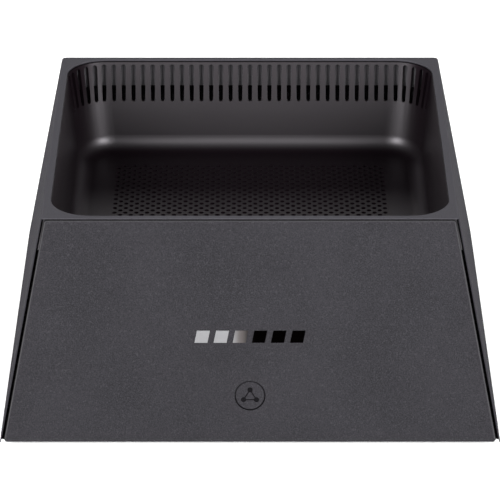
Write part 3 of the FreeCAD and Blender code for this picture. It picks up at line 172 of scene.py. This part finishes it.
# graphite paint with a fine metallic grain: the shell, the front panel and the button
graphitePaint = {
    "base": rgb(0.0138, 0.0131, 0.0152),
    "dark": rgb(0.0048, 0.0045, 0.0054),
    "fleck": rgb(0.025, 0.024, 0.027),
    "sheen": rgb(0.93, 0.91, 0.98),
    "fleckSize": 0.50 * mm,
    "fleckCover": (0.56, 0.70),
    "fleckAmount": 0.8,
    "fleckMetal": 0.15,
    "grainSize": 0.40 * mm,
    "grainCover": (0.38, 0.62),
    "grainDepth": 0.020 * mm,
    "grainShare": 0.7,       # of the relief, the flecks make the rest
    "cloudSize": 30 * mm,
    "cloudCover": (0.3, 0.7),
    "cloudShare": 0.25,      # of the mottling, the specks make the rest
    "roughness": 0.64,
    "fleckPolish": 0.16,
    "speckRough": 0.06,
    "index": 1.46,
    "panelGloss": 0.16,
    "shellGloss": 0.005,
}


def makeGraphite(name, options, gloss, ground=None):
    # ground, where given, changes the paint by place before the flecks go on; for the shell and
    # the panel this carries painted light and shade
    finish = Finish(name, IOR=options["index"], Specular_IOR_Level=gloss,
                    Specular_Tint=options["sheen"])
    cloud = finish.noise(options["cloudSize"], detail=3.0).over(*options["cloudCover"])
    grain = finish.noise(options["grainSize"], detail=1.0)
    speck = grain.over(*options["grainCover"])
    fleck = finish.noise(options["fleckSize"], roughness=0.6).over(*options["fleckCover"])
    cloudShare = options["cloudShare"]
    grainShare = options["grainShare"]
    mottle = cloud * cloudShare + speck * (1.0 - cloudShare)
    colour = finish.mix(mottle, options["dark"], options["base"])
    if ground:
        colour = ground(finish, colour)
    finish.colour(finish.mix(fleck * options["fleckAmount"], colour, options["fleck"]))
    dullness = options["roughness"] - fleck * options["fleckPolish"]
    finish.set(Roughness=dullness + speck * options["speckRough"],
               Metallic=fleck * options["fleckMetal"])
    finish.bump(grain * grainShare + fleck * (1.0 - grainShare), options["grainDepth"])
    return finish.material


# the shell: a paler coat outside, partly painted sheen; paler still on the rim as a painted
# highlight; near black inside the walls as painted shade
shellCoatAndPaintedLight = {
    "coatAndPaintedSheen": tone(graphitePaint["base"], 3.2),
    "coatAmount": 0.5,
    # painted highlight: the rim's top faces are paler, as lit from above
    "rim": rgb(0.0490, 0.0473, 0.0535),
    "rimDepth": 0.45 * mm,
}
# painted shade: near black inside the walls, in the panel recess and behind the panel face;
# painted light on the collar behind the vent slots
paintedInsideShadeAndLight = {
    "colour": rgb(0.0012, 0.0011, 0.0012),
    "wall": (0.9 * mm, 1.1 * mm),        # this far in from the outside is inside
    "rimPlate": (0.5 * mm, 0.7 * mm),
    # painted light: the collar seen through the vent slots is lifted pale, paler towards its foot
    "collar": rgb(0.026, 0.025, 0.027),  # the collar seen through the vent slots
    "collarFoot": rgb(0.070, 0.067, 0.072),
    "collarFrom": 2 * mm,
    "collarDepth": 11.6 * mm,
    "collarEdge": 0.1 * mm,
}
# where painted shade darkens the shell in the panel recess, below the rim's front edge
panelRecessShade = {
    "front": (0.0, -1 * mm),             # on the front half only
    "nose": (0.18 * mm, 0.25 * mm),      # below the rim's front edge
    "behind": (0.15 * mm, 0.30 * mm),
    "beside": (0.30 * mm, 0.38 * mm),
}


def shellGround(finish, colour):
    across = abs(finish.axis("X"))
    along = abs(finish.axis("Y"))
    down = rimTop - finish.axis("Z")
    halfWidth, sideSpread = sideLine("outer_shell", 0)
    halfDepth, endSpread = sideLine("outer_shell", 1)
    fromSide = halfWidth + down * sideSpread - across
    fromEnd = halfDepth + down * endSpread - along
    inside = fromSide.over(*paintedInsideShadeAndLight["wall"]) * fromEnd.over(*paintedInsideShadeAndLight["wall"])
    inside = inside * down.over(*paintedInsideShadeAndLight["rimPlate"])
    # painted shade in the panel recess
    recess = finish.axis("Y").over(*panelRecessShade["front"]) * down.over(*panelRecessShade["nose"])
    recess = recess * fromEnd.over(*panelRecessShade["behind"]) * fromSide.over(*panelRecessShade["beside"])
    # painted light on the collar behind the vent slots, painted shade below it
    collarEnd = paintedInsideShadeAndLight["collarDepth"]
    ring = inside * (1.0 - down.over(collarEnd, collarEnd + paintedInsideShadeAndLight["collarEdge"]))
    collar = finish.mix(down.over(paintedInsideShadeAndLight["collarFrom"], collarEnd),
                        paintedInsideShadeAndLight["collar"], paintedInsideShadeAndLight["collarFoot"])
    # partly painted sheen: the whole outside is lifted paler than the panel in place of the
    # shell's gloss
    colour = finish.mix(shellCoatAndPaintedLight["coatAmount"], colour, shellCoatAndPaintedLight["coatAndPaintedSheen"])
    # painted highlight on the rim's top faces
    colour = finish.mix(down.over(0.0, shellCoatAndPaintedLight["rimDepth"]), shellCoatAndPaintedLight["rim"], colour)
    # painted shade: near black inside the walls and in the panel recess
    colour = finish.mix(inside + recess - inside * recess, colour, paintedInsideShadeAndLight["colour"])
    return finish.mix(ring, colour, collar)


# the front panel: a painted highlight, pale on its rounded front edges, and painted shade, near
# black behind the face
panelEdgeHighlightAndShade = {
    "colour": rgb(0.040, 0.0395, 0.041),
    "side": (0.20 * mm, 0.75 * mm),
    "upper": (0.10 * mm, 0.75 * mm),
    "sideAmount": 0.75,
    "upperAmount": 0.35,
    "behind": (0.14 * mm, 0.28 * mm),
}


def panelGround(finish, colour):
    down = rimTop - finish.axis("Z")
    halfWidth, sideSpread = sideLine("front_panel", 0)
    fromSide = halfWidth + down * sideSpread - abs(finish.axis("X"))
    side = 1.0 - fromSide.over(*panelEdgeHighlightAndShade["side"])
    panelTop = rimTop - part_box("front_panel")[1].z
    upperFrom, upperTo = panelEdgeHighlightAndShade["upper"]
    upper = 1.0 - down.over(panelTop + upperFrom, panelTop + upperTo)
    # painted highlight along the rounded side and top edges
    paleTone = side * panelEdgeHighlightAndShade["sideAmount"] + upper * (1.0 - side) * panelEdgeHighlightAndShade["upperAmount"]
    colour = finish.mix(paleTone, colour, panelEdgeHighlightAndShade["colour"])
    # painted shade: the panel's faces behind its front face are near black
    halfDepth, lean = sideLine("front_panel", 1)
    behind = halfDepth + down * lean - abs(finish.axis("Y"))
    return finish.mix(behind.over(*panelEdgeHighlightAndShade["behind"]), colour, paintedInsideShadeAndLight["colour"])


panelGloss = graphitePaint["panelGloss"]
shellGloss = graphitePaint["shellGloss"]
dress(["mesh_button"], makeGraphite("graphite_paint", graphitePaint, panelGloss))
dress(["front_panel"], makeGraphite("graphite_panel", graphitePaint, panelGloss, panelGround))
dress(["outer_shell"], makeGraphite("graphite_shell", graphitePaint, shellGloss, shellGround))
print("graphite paint ready")


# the tray: satin black walls, duller at the two sides and near the rim, and a matt floor
traySatin = {
    "base": rgb(0.0017, 0.0008, 0.0013),
    "paleTone": rgb(0.0030, 0.0017, 0.0024),
    "sheen": rgb(0.99, 0.94, 1.0),
    "cloudSize": 18 * mm,
    "cloudCover": (0.35, 0.7),
    "cloudShare": 0.6,       # of the mottling, the grain makes the rest
    "cloudPolish": 0.04,
    "grainSize": 0.18 * mm,
    "grainDepth": 0.006 * mm,
    "grainRough": 0.08,
    "roughness": 0.42,
    "wallIndex": 1.64,
    "floorBase": rgb(0.0034, 0.0018, 0.0028),
    "floorSheen": rgb(1.0, 0.84, 0.95),
    "floorIndex": 1.5,
    "floorGloss": 0.17,
    "floorGrainRough": 0.1,
    "satinFrom": (trayFloor + 0.1 * mm, trayFloor + 1.6 * mm),
    "sideWalls": (59 * mm, 67 * mm),
    "sideMatt": 0.80,
    "nearRim": (rimTop - 20 * mm, rimTop - 6 * mm),
    "rimMatt": 0.25,
}


def makeTraySatin(name, options):
    finish = Finish(name, IOR=options["wallIndex"], Specular_Tint=options["sheen"])
    cloud = finish.noise(options["cloudSize"], detail=3.0)
    grain = finish.noise(options["grainSize"])
    share = options["cloudShare"]
    mottle = cloud.over(*options["cloudCover"]) * share + grain * (1.0 - share)
    finish.colour(finish.mix(mottle, options["base"], options["paleTone"]))
    dullness = options["roughness"] + grain * options["grainRough"]
    finish.set(Roughness=dullness - cloud * options["cloudPolish"])
    finish.bump(grain, options["grainDepth"])
    matt = finish.node("ShaderNodeBsdfPrincipled", {}, {
        "Base Color": options["floorBase"], "IOR": options["floorIndex"],
        "Specular IOR Level": options["floorGloss"], "Specular Tint": options["floorSheen"],
        "Roughness": options["roughness"] + grain * options["floorGrainRough"]})
    height = finish.axis("Z")
    dull = abs(finish.axis("X")).over(*options["sideWalls"]) * options["sideMatt"]
    dull = dull + height.over(*options["nearRim"]) * options["rimMatt"]
    satin = height.over(*options["satinFrom"]) * (1.0 - dull)
    blend = finish.node("ShaderNodeMixShader", {}, {
        0: satin, 1: matt.outputs[0], 2: finish.shader.outputs[0]})
    finish.feed(finish.nodes["Material Output"].inputs["Surface"], blend.outputs[0])
    return finish.material


dress(["tray", "floor_grille"], makeTraySatin("tray_satin", traySatin))
print("tray satin ready")


# trim bars: foil that fades from bright to black along the row, a painted reflection
trimFoil = {
    "bright": rgb(0.175, 0.175, 0.18),
    "middle": rgb(0.06, 0.054, 0.053),
    "black": rgb(0.0003, 0.0002, 0.0002),
    "fade": (-9.5 * mm, 2.5 * mm),
    "toMiddle": (0.0, 0.55),             # shares of the fade
    "toBlack": (0.45, 1.0),
    "brushSize": 0.25 * mm,
    "brushStretch": (1, 6, 6),
    "brushDepth": 0.002 * mm,
    "brushRough": 0.1,
    "roughness": 0.30,
    "index": 1.5,
}


def makeTrimFoil(name, options):
    finish = Finish(name, IOR=options["index"], Specular_IOR_Level=0.0)
    along = finish.axis("X").over(*options["fade"])
    brushed = finish.noise(options["brushSize"], roughness=0.6, stretch=options["brushStretch"])
    # painted reflection: colour and metal fade from bright to black along the row
    colour = finish.mix(along.over(*options["toMiddle"]), options["bright"], options["middle"])
    finish.colour(finish.mix(along.over(*options["toBlack"]), colour, options["black"]))
    finish.set(Roughness=options["roughness"] + brushed * options["brushRough"],
               Metallic=1.0 - along)
    finish.bump(brushed, options["brushDepth"])
    return finish.material


dress(["trim_bar"], makeTrimFoil("trim_foil", trimFoil))


# dark ink of the button's sign
signInk = {
    "colour": rgb(0.0036, 0.0033, 0.0038),
    "lift": 1.4,
    "grainSize": 0.15 * mm,
    "grainDepth": 0.004 * mm,
    "grainRough": 0.1,
    "roughness": 0.6,
    "index": 1.5,
}


def makeInk(name, options):
    finish = Finish(name, IOR=options["index"], Specular_IOR_Level=0.0)
    grain = finish.noise(options["grainSize"])
    finish.colour(finish.mix(grain, options["colour"], tone(options["colour"], options["lift"])))
    finish.set(Roughness=options["roughness"] + grain * options["grainRough"])
    finish.bump(grain, options["grainDepth"])
    return finish.material


dress(["button_icon"], makeInk("sign_ink", signInk))
print("trim and sign ready")


# plain moulded plastics; lift is how much paler the mottling goes
mouldedParts = {
    "black_mould": {
        "nodes": ["bottom_cover", "port_bezel", "button_plunger", "reset_plunger"],
        "colour": rgb(0.014, 0.014, 0.015), "lift": 1.5, "roughness": 0.55, "grain": 0.3 * mm},
    "reset_plastic": {
        "nodes": ["reset_button"],
        "colour": rgb(0.05, 0.05, 0.052), "lift": 1.3, "roughness": 0.45, "grain": 0.3 * mm},
    "socket_plastic": {
        "nodes": ["lan_jack_one", "lan_jack_two", "lan_jack_three", "power_jack"],
        "colour": rgb(0.020, 0.020, 0.021), "lift": 1.4, "roughness": 0.4, "grain": 0.5 * mm},
    "wan_socket_plastic": {
        "nodes": ["wan_jack"],
        "colour": rgb(0.015, 0.07, 0.22), "lift": 1.3, "roughness": 0.4, "grain": 0.5 * mm},
    "chip_plastic": {
        "nodes": ["processor", "memory_chips", "line_transformers", "power_inductors",
                  "button_switch", "reset_switch", "ribbon_sockets"],
        "colour": rgb(0.018, 0.018, 0.019), "lift": 1.3, "roughness": 0.5, "grain": 0.2 * mm},
    "thermal_pad": {
        "nodes": ["thermal_pad"],
        "colour": rgb(0.32, 0.36, 0.42), "lift": 1.2, "roughness": 0.8, "grain": 0.8 * mm},
    "ribbon_film": {
        "nodes": ["button_ribbon"],
        "colour": rgb(0.62, 0.62, 0.60), "lift": 1.15, "roughness": 0.35, "grain": 1.0 * mm},
    "led_window": {
        "nodes": ["status_led"],
        "colour": rgb(0.75, 0.78, 0.80), "lift": 1.1, "roughness": 0.2, "grain": 0.5 * mm},
}
mouldSkin = {
    "cloudSize": 14 * mm,
    "cloudShare": 0.5,
    "cloudPolish": 0.08,
    "grainDepth": 0.012 * mm,
    "grainRough": 0.1,
    "index": 1.48,
}


def makeMoulded(name, options):
    finish = Finish(name, IOR=mouldSkin["index"])
    cloud = finish.noise(mouldSkin["cloudSize"], detail=3.0)
    grain = finish.noise(options["grain"], detail=3.0)
    mottle = cloud * mouldSkin["cloudShare"] + grain * (1.0 - mouldSkin["cloudShare"])
    finish.colour(finish.mix(mottle, options["colour"], tone(options["colour"], options["lift"])))
    dullness = options["roughness"] - cloud * mouldSkin["cloudPolish"]
    finish.set(Roughness=dullness + grain * mouldSkin["grainRough"])
    finish.bump(grain, mouldSkin["grainDepth"])
    return finish.material


for partName, partOptions in mouldedParts.items():
    dress(partOptions["nodes"], makeMoulded(partName, partOptions))


# rubber of the feet and the aerial leads' jackets
footRubber = {
    "nodes": ["rubber_foot_front_left", "rubber_foot_front_right", "rubber_foot_rear_left",
              "rubber_foot_rear_right", "lead_left", "lead_right", "lead_rear_left",
              "lead_rear_right"],
    "colour": rgb(0.018, 0.018, 0.019),
    "scuffed": 2.6,
    "speckSize": 0.6 * mm,
    "speckDepth": 0.03 * mm,
    "speckRough": 0.15,
    "speckAmount": 0.2,
    "scuffSize": 5 * mm,
    "scuffCover": (0.5, 0.75),
    "scuffAmount": 0.4,
    "tread": (1.2 * mm, 0.0),            # the underside is worn most
    "treadAmount": 0.2,
    "roughness": 0.78,
    "index": 1.5,
}


def makeRubber(name, options):
    finish = Finish(name, IOR=options["index"])
    speck = finish.noise(options["speckSize"], detail=4.0, roughness=0.7)
    scuff = finish.noise(options["scuffSize"], detail=4.0, roughness=0.6)
    scuff = scuff.over(*options["scuffCover"])
    under = finish.axis("Z").over(*options["tread"])
    wear = scuff * options["scuffAmount"] + speck * options["speckAmount"]
    wear = wear + under * options["treadAmount"]
    finish.colour(finish.mix(wear, options["colour"],
                             tone(options["colour"], options["scuffed"])))
    finish.set(Roughness=options["roughness"] + speck * options["speckRough"])
    finish.bump(speck, options["speckDepth"])
    return finish.material


dress(footRubber["nodes"], makeRubber("foot_rubber", footRubber))


# metals; the stretch draws the tool lines out along one axis
metalParts = {
    "screw_zinc": {
        "nodes": ["cover_screws", "tray_screws", "board_screws", "panel_screws",
                  "button_board_screws", "heat_sink_screws"],
        "colour": rgb(0.36, 0.36, 0.37), "roughness": 0.32, "stretch": (1, 1, 1)},
    "anodised_fins": {
        "nodes": ["heat_sink"],
        "colour": rgb(0.62, 0.63, 0.65), "roughness": 0.36, "stretch": (1, 9, 1)},
    "tinned_can": {
        "nodes": ["radio_shield_left", "radio_shield_right"],
        "colour": rgb(0.62, 0.62, 0.60), "roughness": 0.28, "stretch": (6, 1, 1)},
    "capacitor_can": {
        "nodes": ["capacitors"],
        "colour": rgb(0.5, 0.5, 0.52), "roughness": 0.3, "stretch": (1, 1, 1)},
    "contact_gold": {
        "nodes": ["jack_contacts", "power_pin", "antenna_sockets"],
        "colour": rgb(0.83, 0.60, 0.24), "roughness": 0.22, "stretch": (1, 1, 1)},
}
metalSkin = {
    "lineSize": 0.4 * mm,
    "lineDepth": 0.004 * mm,
    "lineAmount": 0.4,
    "lineRough": 0.12,
    "stainSize": 9 * mm,
    "stainCover": (0.45, 0.75),
    "stainAmount": 0.3,
    "stainRough": 0.08,
    "stainDull": 0.05,
    "stained": 0.72,
}


def makeMetal(name, options):
    finish = Finish(name)
    lines = finish.noise(metalSkin["lineSize"], detail=3.0, roughness=0.6,
                         stretch=options["stretch"])
    stain = finish.noise(metalSkin["stainSize"], detail=3.0).over(*metalSkin["stainCover"])
    marks = lines * metalSkin["lineAmount"] + stain * metalSkin["stainAmount"]
    finish.colour(finish.mix(marks, options["colour"],
                             tone(options["colour"], metalSkin["stained"])))
    dullness = options["roughness"] + lines * metalSkin["lineRough"]
    finish.set(Roughness=dullness + stain * metalSkin["stainRough"],
               Metallic=1.0 - stain * metalSkin["stainDull"])
    finish.bump(lines, metalSkin["lineDepth"])
    return finish.material


for partName, partOptions in metalParts.items():
    dress(partOptions["nodes"], makeMetal(partName, partOptions))


# circuit boards: copper lanes under the solder mask
boardParts = {
    "board_green": {
        "nodes": ["main_board", "button_board"],
        "mask": rgb(0.006, 0.045, 0.022), "lane": rgb(0.02, 0.10, 0.05)},
    "antenna_board": {
        "nodes": ["antenna_left", "antenna_right", "antenna_rear_left", "antenna_rear_right"],
        "mask": rgb(0.012, 0.015, 0.02), "lane": rgb(0.25, 0.14, 0.05)},
}
boardSkin = {
    "laneSize": 3.2 * mm,
    "laneEdge": (0.32, 0.36),
    "laneAmount": 0.6,
    "laneDepth": 0.02 * mm,
    "grainSize": 0.4 * mm,
    "grainAmount": 0.1,
    "grainRough": 0.1,
    "roughness": 0.34,
    "index": 1.5,
}


def makeBoard(name, options):
    finish = Finish(name, IOR=boardSkin["index"])
    lanes = finish.cells(boardSkin["laneSize"]).over(*boardSkin["laneEdge"])
    grain = finish.noise(boardSkin["grainSize"])
    marks = lanes * boardSkin["laneAmount"] + grain * boardSkin["grainAmount"]
    finish.colour(finish.mix(marks, options["mask"], options["lane"]))
    finish.set(Roughness=boardSkin["roughness"] + grain * boardSkin["grainRough"])
    finish.bump(lanes, boardSkin["laneDepth"])
    return finish.material


for partName, partOptions in boardParts.items():
    dress(partOptions["nodes"], makeBoard(partName, partOptions))


# rating label: printed rules on silver film, with no lettering
labelFilm = {
    "film": rgb(0.42, 0.42, 0.43),
    "print": rgb(0.05, 0.05, 0.052),
    "ruleScale": 90.0,
    "ruleEdge": (0.62, 0.7),
    "ruleAmount": 0.75,
    "grainSize": 0.5 * mm,
    "grainDepth": 0.004 * mm,
    "grainAmount": 0.08,
    "grainRough": 0.1,
    "roughness": 0.42,
    "index": 1.45,
}


def makeLabel(name, options):
    finish = Finish(name, IOR=options["index"])
    grain = finish.noise(options["grainSize"], detail=3.0)
    rules = finish.bands(options["ruleScale"]).over(*options["ruleEdge"])
    marks = rules * options["ruleAmount"] + grain * options["grainAmount"]
    finish.colour(finish.mix(marks, options["film"], options["print"]))
    finish.set(Roughness=options["roughness"] + grain * options["grainRough"])
    finish.bump(grain, options["grainDepth"])
    return finish.material


dress(["rating_label"], makeLabel("label_film", labelFilm))
print("small parts finished")


# pale floor, with a little glow of its own so that shadows stay soft
floorSweep = {
    "colour": rgb(0.93, 0.93, 0.93),
    "cloudSize": 0.8,
    "clouded": 0.99,
    "cloudRough": 0.05,
    "roughness": 0.9,
    "glow": 0.25,
    "edge": 30.0,
}


def makeFloor(options):
    mesh = bpy.data.meshes.new("floor")
    edge = options["edge"]
    corners = [(-edge, -edge, 0), (edge, -edge, 0), (edge, edge, 0), (-edge, edge, 0)]
    mesh.from_pydata(corners, [], [(0, 1, 2, 3)])
    floor = bpy.data.objects.new("floor", mesh)
    bpy.context.scene.collection.objects.link(floor)
    finish = Finish("floor_sweep", Emission_Color=rgb(1.0, 1.0, 1.0),
                    Emission_Strength=options["glow"])
    cloud = finish.noise(options["cloudSize"])
    finish.colour(finish.mix(cloud, options["colour"],
                             tone(options["colour"], options["clouded"])))
    finish.set(Roughness=options["roughness"] + cloud * options["cloudRough"])
    mesh.materials.append(finish.material)


# studio walls glow low all round and fade to a dark ceiling; heights are sines of elevation
studioWalls = {
    "colour": rgb(1.0, 1.0, 1.0),
    "wallGlow": 0.60,
    "ceilingGlow": 0.03,
    "fade": (0.40, 0.85),
}


def makeWalls(options):
    world = bpy.data.worlds.new("studio")
    world.use_nodes = True
    graph = Graph(world.node_tree)
    direction = graph.node("ShaderNodeTexCoord", {}, {}).outputs["Generated"]
    glow = graph.ease(graph.part(direction, "Z"), options["fade"],
                      (options["wallGlow"], options["ceilingGlow"]))
    background = graph.nodes["Background"]
    graph.feed(background.inputs["Strength"], glow)
    graph.feed(background.inputs["Color"], options["colour"])
    bpy.context.scene.world = world


# each softbox: angle round from the front, positive to the right, then rise, distance, width,
# height and watts
softboxes = {
    "strip_left": (-36, 21, 1.9, 0.45, 1.27, 56.0),
    "strip_right": (36, 21, 1.9, 0.45, 1.27, 56.0),
    "front_card": (0, 9, 2.2, 0.8, 0.35, 9.0),
    "back_card": (180, 31, 2.0, 1.6, 0.7, 9.0),
    "rear_left": (-158, 13, 2.0, 0.7, 0.9, 20.0),
    "rear_right": (158, 13, 2.0, 0.7, 0.9, 20.0),
}
softboxAim = Vector((0, 0, 0.04))


def addSoftbox(name, azimuth, rise, distance, width, height, power):
    lamp = bpy.data.lights.new(name, "AREA")
    lamp.shape = "RECTANGLE"
    lamp.size = width
    lamp.size_y = height
    lamp.energy = power
    turn = math.radians(azimuth)
    lift = math.radians(rise)
    outward = Vector((math.sin(turn) * math.cos(lift), -math.cos(turn) * math.cos(lift),
                      math.sin(lift)))
    holder = bpy.data.objects.new(name, lamp)
    holder.location = softboxAim + outward * distance
    holder.rotation_euler = (-outward).to_track_quat("-Z", "Y").to_euler()
    holder.visible_camera = False
    bpy.context.scene.collection.objects.link(holder)


cameraSetup = {
    "place": (0.0, -1.1347, 0.577),
    "pitch": 25.5,           # degrees below level
    "lens": 238.4,
    "sensor": 36,
    "farthest": 100,
}


def makeCamera(options):
    lens = bpy.data.cameras.new("studio_camera")
    lens.lens = options["lens"]
    lens.sensor_width = options["sensor"]
    lens.clip_end = options["farthest"]
    camera = bpy.data.objects.new("studio_camera", lens)
    camera.location = options["place"]
    camera.rotation_euler = (math.radians(90 - options["pitch"]), 0, 0)
    bpy.context.scene.collection.objects.link(camera)
    bpy.context.scene.camera = camera


makeFloor(floorSweep)
makeWalls(studioWalls)
for boxName, boxSetting in softboxes.items():
    addSoftbox(boxName, *boxSetting)
makeCamera(cameraSetup)
bpy.context.scene.view_settings.view_transform = "Standard"
bpy.context.scene.view_settings.look = "None"
print("stage ready")
